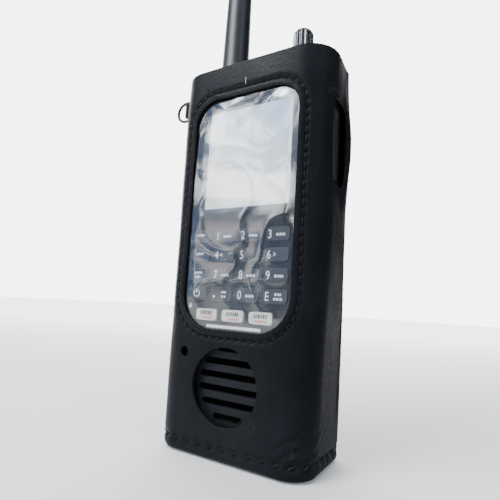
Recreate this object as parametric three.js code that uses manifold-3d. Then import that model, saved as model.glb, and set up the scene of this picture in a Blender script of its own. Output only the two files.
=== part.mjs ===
// A handheld police scanner in its leather carrying case.
// Millimetres, +Z up. The case's front faces -Y and the case stands on the plane z = 0.
import * as THREE from "three";
import { mergeVertices } from "three/addons/utils/BufferGeometryUtils.js";
import Module from "manifold-3d";

const wasm = await Module();
wasm.setup();

// ---- Driving dimensions ----

const GAP = 0.3; // left between pieces that touch

// Leather case
const CASE_HEIGHT = 150;
const CASE_DEPTH = 34;
const CASE_WIDTH_BOTTOM = 62.4;
const CASE_WIDTH_TOP = 67.4;
const CASE_BULGE = 1.2; // extra width at mid height
const CASE_FRONT_RADIUS = [10, 12]; // bottom, top
const CASE_REAR_RADIUS = [5, 14]; // bottom, top
const CASE_EDGE_RADIUS = 2.5; // round of the bottom edge
const LEATHER = 1.8;
const SEAM_Y = 9; // the wrap meets the back tray here
const FLOOR_THICKNESS = 1.8;

const WINDOW = { x: 0.2, z: 90.9, width: 46.4, height: 91.4, topRadius: 10, bottomRadius: 13.4 };
const FILM_THICKNESS = 0.3;
const FILM_MARGIN = 4; // of film behind the leather round the window
const FILM_RADIUS = 8;
const SPEAKER_HOLE = { x: -1.15, z: 25.6, radius: 13.7 };
const VENT_HOLE = { x: -19.9, z: 36.2, radius: 2 };
const SIDE_CUTOUT = { y: -1.5, z: 116.5, width: 11, height: 33, radius: 3 };

// Belt loop, ring and rivets on the case
const STRAP_WIDTH = 30;
const STRAP_THICKNESS = 1.8;
const STRAP_FOOT = 11; // flat end that is sewn down
const STRAP_Z = [50, 132];
const STRAP_STAND_OFF = 6.6; // room for the belt
const STRAP_RAMP = 9;
const RIVET_HEAD = 3;
const RIVET_SHANK = 1.2;
const RIVET_HEIGHT = 0.8;
const RIVET_RIM = 0.3; // height of the head's edge
const RING = { x: -36.2, y: -6, z: 141, height: 8.8, reach: 6.9, wire: 0.65 };
const TAB_HEIGHT = 6;
const TAB_THICKNESS = 1.4;
const TAB_END_Y = 8;
const TAB_RIVET_Y = 4;
const TAB_EYE = { inner: 1, outer: 2.2 };

// Scanner housing
const BODY_Z = [2.1, 149.1];
const BODY_HALF_WIDTH = [29, 31.2]; // bottom, top
const BODY_FRONT = -13.5;
const BODY_BACK = 13.9;
const BODY_FRONT_RADIUS = 8;
const BODY_REAR_RADIUS = 9;
const BODY_EDGE_RADIUS = 1.6;
const FRONT_WALL = 1.6;
const SIDE_WALL = 2;
const REAR_WALL = 2.4;

const LENS = { x: 0, z: 112.6, width: 41.6, height: 44.6, radius: 2.5, thickness: 0.7 };
const LENS_RECESS = 1;
const SCREEN = { width: 38, height: 41, radius: 0.8 };
const TOP_CUT = [BODY_Z[1] - 5, BODY_Z[1] + 5]; // through the top wall
const GRILLE = { x: -0.8, z: 26.6, radius: 13.5, pitch: 4.83, slots: 6, slotHeight: 2.35 };

// Keys
const KEY = { width: 9.4, height: 5.2, radius: 1.6, proud: 0.7 };
const KEY_COLUMNS = [-18, -6.65, 4.7, 16.05];
const KEY_ROWS = [80.7, 73.27, 65.84, 58.41];
const KEY_NAMES = [
  ["key_search", "key_1", "key_2", "key_3"],
  ["key_priority", "key_4", "key_5", "key_6"],
  ["key_function", "key_7", "key_8", "key_9"],
  ["key_power", "key_point", "key_0", "key_enter"],
];
const PALE_KEY = { width: 9.4, height: 4.3, radius: 1, proud: 0.7 };
const PALE_KEYS = { key_scan: -12.8, key_hold: -1, key_lockout: 10.8 };
const PALE_ROW = 50.5;
const KEY_FLANGE = 0.4; // wider than its hole all round
const KEY_FLANGE_SINK = 0.5; // behind the front wall
const KEY_FLANGE_THICKNESS = 0.8;
const KEY_CLEARANCE = 0.3;

// Port opening on the right-hand side, with its rubber cover
const PORT = { y: -1.5, z: 117, width: 9.6, height: 28.6, radius: 0.6, coverRadius: 1.3 };
const PORT_COVER_X = [29.6, 31.2];
const COVER_GRIP = { below: 3, width: 6, height: 1.6, depth: 0.5 };
const JACK_PANEL_X = [26.8, 28.4];
const JACK_PANEL_MARGIN = 1.4;
const JACK_PANEL_RADIUS = 1;
const JACK_MOUTH = 3; // depth of a jack's opening
const USB_JACK = { z: 124, width: 5, height: 7.6, wall: 0.4, depth: 4, radius: 0.6 };
const PHONE_JACK = { z: 110.5, radius: 2.6, bore: 1.8, depth: 4 };

// Controls on the top face
const KNOB = { x: 16, z: [153.3, 168.7], radius: 4.3, flutes: 12, fluteDepth: 0.4, foot: 1, dome: 2.6 };
const SHAFT = { radius: 1.9, z: [141, 161] };
const BUSHING = { radius: 3.1, bore: 2.2, z: [143.5, 152.4] };
const ANTENNA_X = -17;
const SOCKET = { radius: 4.8, bore: 2.4, z: [144.5, 153.9], lip: 1.5, lipThickness: 1, floor: 2 };
const COLLAR = {
  radius: 6.8,
  bore: 5.1,
  z: [149.7, 156.6],
  topHole: 3.6,
  cap: 1.1,
  ribs: 20,
  ribDepth: 0.35,
  foot: 1.5,
};
const WHIP = { neck: 3.3, pin: 1.6, pinZ: 150.5, neckZ: 154.2, z: 156.9, topZ: 318, tip: 3.9 };
// The whip's radius at heights above its foot.
const WHIP_TAPER = [
  [6.3, 0],
  [6.3, 2],
  [5.95, 4],
  [5.75, 17],
  [5.4, 38],
  [4.9, 74],
  [4.4, 114],
];

// Pieces inside the scanner
const BOARD = { width: 52, z: [12, 144], y: [-8.6, -7] };
const MAT = { x: -1, y: [-9.6, -8.9], z: [46, 86], width: 47 };
const PANEL = { y: [-11.6, -9.6], width: 42, height: 46, radius: 1 };
const SPEAKER = { radius: 13, y: [-11.5, -9], rim: 2, cone: 1 };
const CELL = { radius: 7.15, length: 49.5, x: 7.6, y: 3.8, z: 18, button: 2.6, buttonHeight: 1 };
const DOOR = { z: 44, width: 34, height: 62, radius: 3, thickness: 1.2 };
const DOOR_LIP = 2.4;
const DOOR_GRIP = { grooves: 4, below: 6, pitch: 2.4, width: 18, height: 1.2, depth: 0.4 };
const SCREW = { x: 17, z: [8.5, 142], radius: 2.4, thickness: 1, slot: 0.9, reach: 1.44, depth: 0.5 };

const ROUND = 32; // facets of a full circle
const CORNER = 6; // facets of a large rounded corner
const SMALL_CORNER = 2; // facets of a small one
const WHIP_FACETS = 20;
const OVERLAP = 0.3; // of two shapes that are joined into one

// ---- Materials ----

function finish(color, roughness, metalness = 0) {
  return new THREE.MeshStandardMaterial({ color, roughness, metalness });
}

const leather = finish(0x26282b, 0.55);
const clearFilm = new THREE.MeshStandardMaterial({
  color: 0xdfe6ea,
  roughness: 0.15,
  transparent: true,
  opacity: 0.3,
});
const housingPlastic = finish(0x35383b, 0.6);
const keyPlastic = finish(0x2b2d30, 0.5);
const paleRubber = finish(0xd9d4c6, 0.55);
const blackRubber = finish(0x151617, 0.8);
const knobPlastic = finish(0x1b1c1e, 0.3);
const darkSteel = finish(0x55565a, 0.35, 1);
const brightSteel = finish(0xb9bbbd, 0.25, 1);
const lensPlastic = finish(0xaebfc8, 0.1);
const boardGreen = finish(0x2c5b3a, 0.6);
const screenGrey = finish(0xc9d3d6, 0.4);
const cellGreen = finish(0x3b6e4a, 0.4);

// ---- Solids ----

function solid(geometry) {
  const bare = geometry.clone();
  bare.deleteAttribute("normal");
  bare.deleteAttribute("uv");
  const merged = mergeVertices(bare, 1e-4);
  return new wasm.Manifold(
    new wasm.Mesh({
      numProp: 3,
      vertProperties: merged.attributes.position.array,
      triVerts: new Uint32Array(merged.index.array),
    }),
  );
}

function geometryOf(body) {
  const { vertProperties, triVerts } = body.getMesh();
  const indexed = new THREE.BufferGeometry();
  indexed.setAttribute("position", new THREE.BufferAttribute(vertProperties, 3));
  indexed.setIndex(new THREE.BufferAttribute(triVerts, 1));
  const flat = indexed.toNonIndexed();
  flat.computeVertexNormals();
  return flat;
}

function piece(name, body, material) {
  const geometry = body.isBufferGeometry ? body : geometryOf(body);
  const mesh = new THREE.Mesh(geometry, material);
  mesh.name = name;
  return mesh;
}

function cut(body, ...tools) {
  return tools.reduce((rest, tool) => rest.subtract(solid(tool)), body);
}

function join(...geometries) {
  const [first, ...others] = geometries.map(solid);
  return others.reduce((sum, other) => sum.add(other), first);
}

function box([x0, x1], [y0, y1], [z0, z1]) {
  const geometry = new THREE.BoxGeometry(x1 - x0, y1 - y0, z1 - z0);
  return geometry.translate((x0 + x1) / 2, (y0 + y1) / 2, (z0 + z1) / 2);
}

// An upright round bar at (x, y).
function post(x, y, [z0, z1], radius, facets = ROUND) {
  const geometry = new THREE.CylinderGeometry(radius, radius, z1 - z0, facets);
  return geometry.rotateX(Math.PI / 2).translate(x, y, (z0 + z1) / 2);
}

// A round bar along Y at (x, z).
function frontBar(x, z, [y0, y1], radius, facets = ROUND) {
  const geometry = new THREE.CylinderGeometry(radius, radius, y1 - y0, facets);
  return geometry.translate(x, (y0 + y1) / 2, z);
}

// A round bar along X at (y, z).
function sideBar(y, z, [x0, x1], radius, facets = ROUND) {
  const geometry = new THREE.CylinderGeometry(radius, radius, x1 - x0, facets);
  return geometry.rotateZ(Math.PI / 2).translate((x0 + x1) / 2, y, z);
}

function roundedRectangle(cx, cy, width, height, topRadius, bottomRadius = topRadius) {
  const [left, right] = [cx - width / 2, cx + width / 2];
  const [low, high] = [cy - height / 2, cy + height / 2];
  const shape = new THREE.Shape();
  shape.moveTo(left + bottomRadius, low);
  shape.lineTo(right - bottomRadius, low);
  shape.absarc(right - bottomRadius, low + bottomRadius, bottomRadius, -Math.PI / 2, 0);
  shape.absarc(right - topRadius, high - topRadius, topRadius, 0, Math.PI / 2);
  shape.absarc(left + topRadius, high - topRadius, topRadius, Math.PI / 2, Math.PI);
  shape.absarc(left + bottomRadius, low + bottomRadius, bottomRadius, Math.PI, 1.5 * Math.PI);
  return shape;
}

function extrude(shape, depth, facets = SMALL_CORNER) {
  return new THREE.ExtrudeGeometry(shape, { depth, bevelEnabled: false, curveSegments: facets });
}

// A shape drawn in x and z, filled from y0 to y1.
function frontPlate(shape, [y0, y1], facets) {
  return extrude(shape, y1 - y0, facets).rotateX(Math.PI / 2).translate(0, y1, 0);
}

// A shape drawn in y and z, filled from x0 to x1.
function sidePlate(shape, [x0, x1], facets) {
  const plate = extrude(shape, x1 - x0, facets).rotateX(Math.PI / 2).rotateZ(Math.PI / 2);
  return plate.translate(x0, 0, 0);
}

// A closed outline of a box with rounded upright corners, counterclockwise from above.
function section(halfWidth, front, back, frontRadius, rearRadius) {
  const corners = [
    [halfWidth - frontRadius, front + frontRadius, frontRadius, -90],
    [halfWidth - rearRadius, back - rearRadius, rearRadius, 0],
    [rearRadius - halfWidth, back - rearRadius, rearRadius, 90],
    [frontRadius - halfWidth, front + frontRadius, frontRadius, 180],
  ];
  return corners.flatMap(([x, y, radius, start]) =>
    Array.from({ length: CORNER + 1 }, (_, i) => {
      const angle = THREE.MathUtils.degToRad(start + (90 * i) / CORNER);
      return [x + radius * Math.cos(angle), y + radius * Math.sin(angle)];
    }),
  );
}

// A solid through outlines that all have the same number of points.
function loft(levels) {
  const count = levels[0].outline.length;
  const positions = levels.flatMap(({ z, outline }) => outline.flatMap(([x, y]) => [x, y, z]));
  const index = [];
  for (let level = 0; level + 1 < levels.length; level++) {
    for (let i = 0; i < count; i++) {
      const [a, b] = [level * count + i, level * count + ((i + 1) % count)];
      index.push(a, b, b + count, a, b + count, a + count);
    }
  }
  const top = (levels.length - 1) * count;
  for (let i = 1; i + 1 < count; i++) {
    index.push(0, i + 1, i, top, top + i, top + i + 1);
  }
  const geometry = new THREE.BufferGeometry();
  geometry.setAttribute("position", new THREE.Float32BufferAttribute(positions, 3));
  geometry.setIndex(index);
  return geometry;
}

// How far a rounded edge of the given radius lies inside its face at a height above the edge.
function edgeInset(height, radius) {
  if (height >= radius) return 0;
  return radius - Math.sqrt(radius ** 2 - (radius - height) ** 2);
}

// The inside or outside of the case, drawn in by an inset on every upright face.
function caseForm(inset, [z0, z1]) {
  const edge = [0, 0.1, 0.35, 0.7, 1].map((t) => t * CASE_EDGE_RADIUS);
  const steps = [...edge, 20, 40, 60, 80, 100, 120, 135, CASE_HEIGHT];
  const heights = [z0, ...steps.filter((z) => z > z0 && z < z1), z1];
  return loft(
    heights.map((z) => {
      const u = THREE.MathUtils.clamp(z / CASE_HEIGHT, 0, 1);
      const bulge = CASE_BULGE * (1 - (2 * u - 1) ** 2);
      const width = THREE.MathUtils.lerp(CASE_WIDTH_BOTTOM, CASE_WIDTH_TOP, u) + bulge;
      const drawn = inset + edgeInset(Math.max(z, 0), CASE_EDGE_RADIUS);
      const outline = section(
        width / 2 - drawn,
        drawn - CASE_DEPTH / 2,
        CASE_DEPTH / 2 - drawn,
        THREE.MathUtils.lerp(...CASE_FRONT_RADIUS, u) - inset,
        THREE.MathUtils.lerp(...CASE_REAR_RADIUS, u) - inset,
      );
      return { z, outline };
    }),
  );
}

const REACH = 100; // past any face of the case or scanner

// ---- Case ----

function caseShell() {
  const outside = solid(caseForm(0, [0, CASE_HEIGHT]));
  return outside.subtract(solid(caseForm(LEATHER, [-1, CASE_HEIGHT + 1])));
}

function caseWrap() {
  const { x, z, width, height, topRadius, bottomRadius } = WINDOW;
  const front = [-REACH, 0];
  const opening = roundedRectangle(x, z, width, height, topRadius, bottomRadius);
  const cutout = SIDE_CUTOUT;
  const side = roundedRectangle(cutout.y, cutout.z, cutout.width, cutout.height, cutout.radius);
  return cut(
    caseShell(),
    box([-REACH, REACH], [SEAM_Y - GAP / 2, REACH], [-REACH, 2 * REACH]),
    frontPlate(opening, front, 2 * CORNER),
    frontBar(SPEAKER_HOLE.x, SPEAKER_HOLE.z, front, SPEAKER_HOLE.radius),
    frontBar(VENT_HOLE.x, VENT_HOLE.z, front, VENT_HOLE.radius, ROUND / 2),
    sidePlate(side, [0, REACH]),
  );
}

function caseBack() {
  return cut(caseShell(), box([-REACH, REACH], [-REACH, SEAM_Y + GAP / 2], [-REACH, 2 * REACH]));
}

function caseFloor() {
  return solid(caseForm(LEATHER + GAP, [0, FLOOR_THICKNESS]));
}

// The clear sheet follows the inside of the wrap round the window.
function windowFilm() {
  const outer = LEATHER + GAP;
  const z = [WINDOW.z - WINDOW.height / 2 - FILM_MARGIN, WINDOW.z + WINDOW.height / 2 + FILM_MARGIN];
  const sheet = solid(caseForm(outer, z)).subtract(
    solid(caseForm(outer + FILM_THICKNESS, [z[0] - 1, z[1] + 1])),
  );
  const margin = 2 * FILM_MARGIN;
  const [width, height] = [WINDOW.width + margin, WINDOW.height + margin];
  const outline = roundedRectangle(WINDOW.x, WINDOW.z, width, height, FILM_RADIUS);
  return sheet.intersect(solid(frontPlate(outline, [-REACH, 0])));
}

function beltLoop() {
  const [z0, z1] = STRAP_Z;
  const inner = CASE_DEPTH / 2 + GAP;
  const far = inner + STRAP_STAND_OFF;
  const foot = STRAP_FOOT;
  const bend = foot + STRAP_RAMP;
  const inside = [
    [inner, z0],
    [inner, z0 + foot],
    [far, z0 + bend],
    [far, z1 - bend],
    [inner, z1 - foot],
    [inner, z1],
  ];
  const outside = inside.map(([y, z]) => [y + STRAP_THICKNESS, z]).reverse();
  const profile = new THREE.Shape([...inside, ...outside].map(([y, z]) => new THREE.Vector2(y, z)));
  const strap = solid(sidePlate(profile, [-STRAP_WIDTH / 2, STRAP_WIDTH / 2]));
  const holes = strapRivets().map(([, z]) =>
    frontBar(0, z, [0, REACH], RIVET_SHANK + GAP / 2, ROUND / 2),
  );
  return cut(strap, ...holes);
}

function strapRivets() {
  return [
    ["rivet_lower", STRAP_Z[0] + STRAP_FOOT / 2],
    ["rivet_upper", STRAP_Z[1] - STRAP_FOOT / 2],
  ];
}

// A domed rivet whose head lies on a sheet, drawn along +Z with the underside of its head at 0.
function rivet(length) {
  const dome = [0, 0.5, 0.85, 1].map((t) => {
    const rise = RIVET_RIM + t * (RIVET_HEIGHT - RIVET_RIM);
    return new THREE.Vector2(RIVET_HEAD * Math.cos((t * Math.PI) / 2), rise);
  });
  dome[dome.length - 1].x = 0;
  const profile = [
    new THREE.Vector2(0, -length),
    new THREE.Vector2(RIVET_SHANK, -length),
    new THREE.Vector2(RIVET_SHANK, 0),
    new THREE.Vector2(RIVET_HEAD, 0),
    ...dome,
  ];
  return new THREE.LatheGeometry(profile, ROUND / 2).rotateX(Math.PI / 2);
}

function ringTab() {
  const height = [RING.z - TAB_HEIGHT / 2, RING.z + TAB_HEIGHT / 2];
  const wallSide = RING.x + TAB_EYE.outer;
  const plate = box([wallSide - TAB_THICKNESS, wallSide], [RING.y, TAB_END_Y], height);
  const through = [RING.z - TAB_HEIGHT, RING.z + TAB_HEIGHT];
  return cut(
    join(plate, post(RING.x, RING.y, height, TAB_EYE.outer, ROUND / 2)),
    post(RING.x, RING.y, through, TAB_EYE.inner, ROUND / 2),
    sideBar(TAB_RIVET_Y, RING.z, [-REACH, 0], RIVET_SHANK + GAP / 2, ROUND / 2),
  );
}

// A D-shaped ring of round wire in the XZ plane, with its straight bar on the Z axis.
function ringWire() {
  const { height, reach, wire } = RING;
  const bend = height / 2;
  const bar = 4;
  const turn = 14;
  const corner = 1.2; // the bar's own bends
  const path = [];
  for (let i = 0; i <= bar; i++) {
    path.push([0, THREE.MathUtils.lerp(corner - bend, bend - corner, i / bar)]);
  }
  for (let i = 1; i <= bar; i++) {
    const angle = (i / bar) * (Math.PI / 2);
    path.push([-corner * (1 - Math.cos(angle)), bend - corner + corner * Math.sin(angle)]);
  }
  for (let i = 0; i <= turn; i++) {
    const angle = Math.PI / 2 + (i / turn) * Math.PI;
    path.push([bend - reach + bend * Math.cos(angle), bend * Math.sin(angle)]);
  }
  for (let i = 0; i < bar; i++) {
    const angle = (i / bar) * (Math.PI / 2);
    path.push([-corner * (1 - Math.sin(angle)), -bend + corner - corner * Math.cos(angle)]);
  }
  return closedTube(path, wire, 10);
}

// A round wire along a closed path given as x and z.
function closedTube(path, radius, sides) {
  const count = path.length;
  const positions = [];
  path.forEach(([x, z], i) => {
    const [px, pz] = path[(i + count - 1) % count];
    const [nx, nz] = path[(i + 1) % count];
    const out = new THREE.Vector2(nz - pz, px - nx).normalize();
    for (let s = 0; s < sides; s++) {
      const angle = (2 * Math.PI * s) / sides;
      const side = radius * Math.cos(angle);
      positions.push(x + side * out.x, radius * Math.sin(angle), z + side * out.y);
    }
  });
  const index = [];
  for (let i = 0; i < count; i++) {
    for (let s = 0; s < sides; s++) {
      const next = (s + 1) % sides;
      const [a, b] = [i * sides + s, i * sides + next];
      const [c, d] = [((i + 1) % count) * sides + s, ((i + 1) % count) * sides + next];
      index.push(a, d, c, a, b, d);
    }
  }
  const geometry = new THREE.BufferGeometry();
  geometry.setAttribute("position", new THREE.Float32BufferAttribute(positions, 3));
  geometry.setIndex(index);
  return geometry;
}

function caseGroup() {
  const group = new THREE.Group();
  group.add(
    piece("case_wrap", caseWrap(), leather),
    piece("case_back", caseBack(), leather),
    piece("case_floor", caseFloor(), leather),
    piece("window_film", windowFilm(), clearFilm),
    piece("belt_loop", beltLoop(), leather),
    piece("ring_tab", ringTab(), leather),
  );
  const strapFace = CASE_DEPTH / 2 + GAP + STRAP_THICKNESS;
  for (const [name, z] of strapRivets()) {
    const mesh = piece(name, rivet(STRAP_THICKNESS), darkSteel);
    mesh.position.set(0, strapFace + GAP, z);
    mesh.rotation.x = -Math.PI / 2;
    group.add(mesh);
  }
  const tabRivet = piece("rivet_tab", rivet(TAB_THICKNESS), darkSteel);
  tabRivet.position.set(RING.x + TAB_EYE.outer - TAB_THICKNESS - GAP, TAB_RIVET_Y, RING.z);
  tabRivet.rotation.y = -Math.PI / 2;
  const ring = piece("strap_ring", ringWire(), darkSteel);
  ring.position.set(RING.x, RING.y, RING.z);
  group.add(tabRivet, ring);
  return group;
}

// ---- Scanner housing ----

function bodyForm(front, side, back, end) {
  const [bottom, top] = [BODY_Z[0] + end, BODY_Z[1] - end];
  const edge = [0, 0.15, 0.5, 1].map((t) => t * BODY_EDGE_RADIUS);
  const heights = [...edge.map((h) => bottom + h), ...edge.map((h) => top - h).reverse()];
  return loft(
    heights.map((z) => {
      const u = (z - BODY_Z[0]) / (BODY_Z[1] - BODY_Z[0]);
      const inset = edgeInset(Math.min(z - bottom, top - z), BODY_EDGE_RADIUS);
      const outline = section(
        THREE.MathUtils.lerp(...BODY_HALF_WIDTH, u) - side - inset,
        BODY_FRONT + front + inset,
        BODY_BACK - back - inset,
        BODY_FRONT_RADIUS - side,
        BODY_REAR_RADIUS - side,
      );
      return { z, outline };
    }),
  );
}

function housingShell() {
  const inside = bodyForm(FRONT_WALL, SIDE_WALL, REAR_WALL, SIDE_WALL);
  return solid(bodyForm(0, 0, 0, 0)).subtract(solid(inside));
}

// Openings that cross both halves of the housing.
function sharedCuts() {
  const port = roundedRectangle(PORT.y, PORT.z, PORT.width + GAP, PORT.height + GAP, PORT.radius);
  return [
    sidePlate(port, [JACK_PANEL_X[1], REACH]),
    post(KNOB.x, 0, TOP_CUT, BUSHING.radius + GAP),
    post(ANTENNA_X, 0, TOP_CUT, SOCKET.radius + GAP),
  ];
}

function keyHole(x, z, key) {
  const grow = 2 * KEY_CLEARANCE;
  const outline = roundedRectangle(x, z, key.width + grow, key.height + grow, key.radius + KEY_CLEARANCE);
  return frontPlate(outline, [BODY_FRONT - 1, BODY_FRONT + FRONT_WALL + 1]);
}

function keyLayout() {
  const grid = KEY_ROWS.flatMap((z, row) =>
    KEY_COLUMNS.map((x, column) => ({ name: KEY_NAMES[row][column], x, z, key: KEY })),
  );
  const pale = Object.entries(PALE_KEYS).map(([name, x]) => ({ name, x, z: PALE_ROW, key: PALE_KEY }));
  return [...grid, ...pale];
}

function grilleSlots() {
  const { x, z, radius, pitch, slots, slotHeight } = GRILLE;
  return Array.from({ length: slots }, (_, i) => {
    const rise = (i - (slots - 1) / 2) * pitch;
    const length = 2 * Math.sqrt(radius ** 2 - rise ** 2);
    const outline = roundedRectangle(x, z + rise, length, slotHeight, slotHeight / 2 - 0.01);
    return frontPlate(outline, [BODY_FRONT - 1, BODY_FRONT + FRONT_WALL + 1], 3);
  });
}

function frontHousing() {
  const lensSeat = roundedRectangle(LENS.x, LENS.z, LENS.width + GAP, LENS.height + GAP, LENS.radius);
  const screen = roundedRectangle(LENS.x, LENS.z, SCREEN.width, SCREEN.height, SCREEN.radius);
  return cut(
    housingShell(),
    box([-REACH, REACH], [-GAP / 2, REACH], [-REACH, 2 * REACH]),
    ...sharedCuts(),
    ...keyLayout().map(({ x, z, key }) => keyHole(x, z, key)),
    ...grilleSlots(),
    frontPlate(lensSeat, [BODY_FRONT - 1, BODY_FRONT + LENS_RECESS]),
    frontPlate(screen, [BODY_FRONT - 1, BODY_FRONT + FRONT_WALL + 1]),
  );
}

function rearHousing() {
  const { z, width, height, radius, thickness } = DOOR;
  const face = [BODY_BACK - thickness - GAP, BODY_BACK + 1];
  const through = [BODY_BACK - REAR_WALL - 1, BODY_BACK + 1];
  const seat = roundedRectangle(0, z, width + GAP, height + GAP, radius);
  const bay = roundedRectangle(0, z, width - 2 * DOOR_LIP, height - 2 * DOOR_LIP, radius);
  const heads = screwPlaces().map(([, x, sz]) =>
    frontBar(x, sz, [BODY_BACK - SCREW.thickness - GAP, REACH], SCREW.radius + GAP, ROUND / 2),
  );
  return cut(
    housingShell(),
    box([-REACH, REACH], [-REACH, GAP / 2], [-REACH, 2 * REACH]),
    ...sharedCuts(),
    frontPlate(seat, face),
    frontPlate(bay, through),
    ...heads,
  );
}

function batteryDoor() {
  const { z, width, height, radius, thickness } = DOOR;
  const door = solid(
    frontPlate(roundedRectangle(0, z, width, height, radius), [BODY_BACK - thickness, BODY_BACK]),
  );
  const { grooves, below, pitch, ...groove } = DOOR_GRIP;
  const grip = Array.from({ length: grooves }, (_, i) => {
    const top = z + height / 2 - below - pitch * i + groove.height / 2;
    return box(
      [-groove.width / 2, groove.width / 2],
      [BODY_BACK - groove.depth, BODY_BACK + 1],
      [top - groove.height, top],
    );
  });
  return cut(door, ...grip);
}

function screwPlaces() {
  return SCREW.z.flatMap((z, level) =>
    [-SCREW.x, SCREW.x].map((x, side) => [`screw_${1 + 2 * level + side}`, x, z]),
  );
}

function screw(x, z) {
  const head = solid(frontBar(x, z, [BODY_BACK - SCREW.thickness, BODY_BACK], SCREW.radius, ROUND / 2));
  const half = SCREW.slot / 2;
  const { reach } = SCREW;
  const recess = [BODY_BACK - SCREW.depth, BODY_BACK + 1];
  return cut(
    head,
    box([x - half, x + half], recess, [z - reach, z + reach]),
    box([x - reach, x + reach], recess, [z - half, z + half]),
  );
}

// ---- Pieces inside the housing ----

function insidePieces() {
  const board = box([-BOARD.width / 2, BOARD.width / 2], BOARD.y, BOARD.z);
  const mat = box([MAT.x - MAT.width / 2, MAT.x + MAT.width / 2], MAT.y, MAT.z);
  const panel = roundedRectangle(LENS.x, LENS.z, PANEL.width, PANEL.height, PANEL.radius);
  const lens = roundedRectangle(LENS.x, LENS.z, LENS.width, LENS.height, LENS.radius);
  const hollow = [SPEAKER.y[0] - 1, SPEAKER.y[0] + SPEAKER.cone];
  const cone = frontBar(GRILLE.x, GRILLE.z, hollow, SPEAKER.radius - SPEAKER.rim);
  const frame = solid(frontBar(GRILLE.x, GRILLE.z, SPEAKER.y, SPEAKER.radius));
  return [
    piece("main_board", board, boardGreen),
    piece("keypad_mat", mat, blackRubber),
    piece("display_panel", frontPlate(panel, PANEL.y), screenGrey),
    piece("display_lens", frontPlate(lens, [BODY_FRONT, BODY_FRONT + LENS.thickness]), lensPlastic),
    piece("speaker", cut(frame, cone), darkSteel),
    ...[-1, 1].map((side, i) => piece(`battery_cell_${i + 1}`, batteryCell(side), cellGreen)),
  ];
}

// The two cells lie side by side and point opposite ways.
function batteryCell(side) {
  const { radius, length, x, y, z, button, buttonHeight } = CELL;
  const low = side < 0 ? z : z + buttonHeight;
  const high = low + length;
  const nub = side < 0 ? [high - OVERLAP, high + buttonHeight] : [low - buttonHeight, low + OVERLAP];
  return join(post(side * x, y, [low, high], radius), post(side * x, y, nub, button, ROUND / 2));
}

function jackPieces() {
  const grow = 2 * JACK_PANEL_MARGIN;
  const outline = roundedRectangle(PORT.y, PORT.z, PORT.width + grow, PORT.height + grow, JACK_PANEL_RADIUS);
  const [x0, x1] = JACK_PANEL_X;
  const usb = USB_JACK;
  const phone = PHONE_JACK;
  const usbOutline = (inset) =>
    roundedRectangle(PORT.y, usb.z, usb.width - 2 * inset, usb.height - 2 * inset, usb.radius);
  const panel = cut(
    solid(sidePlate(outline, [x0, x1 - GAP])),
    sidePlate(usbOutline(-GAP), [x0 - 1, x1 + 1]),
    sideBar(PORT.y, phone.z, [x0 - 1, x1 + 1], phone.radius + GAP),
  );
  const face = x1 - GAP;
  const mouth = [face - JACK_MOUTH, x1 + 1];
  const usbBody = cut(
    solid(sidePlate(usbOutline(0), [face - usb.depth, face])),
    sidePlate(usbOutline(usb.wall), mouth),
  );
  const barrel = cut(
    solid(sideBar(PORT.y, phone.z, [face - phone.depth, face], phone.radius)),
    sideBar(PORT.y, phone.z, mouth, phone.bore, ROUND / 2),
  );
  return [
    piece("jack_panel", panel, housingPlastic),
    piece("usb_jack", usbBody, brightSteel),
    piece("phone_jack", barrel, brightSteel),
  ];
}

// ---- Moving pieces on the scanner ----

function keyMesh({ name, x, z, key }) {
  const flange = 2 * KEY_FLANGE + 2 * KEY_CLEARANCE;
  const back = BODY_FRONT + FRONT_WALL + KEY_FLANGE_SINK;
  const cap = roundedRectangle(0, 0, key.width, key.height, key.radius);
  const rim = roundedRectangle(0, 0, key.width + flange, key.height + flange, key.radius);
  const body = join(
    frontPlate(cap, [BODY_FRONT - key.proud, back + KEY_FLANGE_THICKNESS / 2]),
    frontPlate(rim, [back, back + KEY_FLANGE_THICKNESS]),
  );
  const mesh = piece(name, body, key === PALE_KEY ? paleRubber : keyPlastic);
  mesh.position.set(x, 0, z);
  return mesh;
}

function portCover() {
  const size = [PORT.width - 2 * GAP, PORT.height - 2 * GAP];
  const flap = solid(sidePlate(roundedRectangle(PORT.y, PORT.z, ...size, PORT.coverRadius), PORT_COVER_X));
  const { below, width, height, depth } = COVER_GRIP;
  const top = PORT.z + PORT.height / 2 - below + height / 2;
  const across = [PORT.y - width / 2, PORT.y + width / 2];
  return cut(flap, box([PORT_COVER_X[1] - depth, REACH], across, [top - height, top]));
}

// An upright round piece with ribs round it, as an extruded cog outline.
function fluted(radius, depth, ribs, [z0, z1]) {
  const points = Array.from({ length: 4 * ribs }, (_, i) => {
    const r = i % 4 < 2 ? radius : radius - depth;
    const angle = (2 * Math.PI * i) / (4 * ribs);
    return new THREE.Vector2(r * Math.cos(angle), r * Math.sin(angle));
  });
  return extrude(new THREE.Shape(points), z1 - z0).translate(0, 0, z0);
}

function knob() {
  const [z0, z1] = KNOB.z;
  const { radius, flutes, fluteDepth, foot, dome } = KNOB;
  const shoulder = z1 - dome;
  const inner = radius - fluteDepth;
  const skirt = fluted(radius, fluteDepth, flutes, [z0 + foot - OVERLAP, shoulder]);
  const crown = [new THREE.Vector2(0, shoulder - 1), new THREE.Vector2(inner, shoulder - 1)];
  for (let i = 0; i < CORNER; i++) {
    const angle = ((i / CORNER) * Math.PI) / 2;
    crown.push(new THREE.Vector2(inner * Math.cos(angle), shoulder + dome * Math.sin(angle)));
  }
  crown.push(new THREE.Vector2(0, z1));
  return cut(
    join(
      skirt,
      post(0, 0, [z0, z0 + foot], radius),
      new THREE.LatheGeometry(crown, ROUND).rotateX(Math.PI / 2),
    ),
    post(0, 0, [z0 - 1, SHAFT.z[1] + GAP], SHAFT.radius + GAP, ROUND / 2),
  );
}

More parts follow.
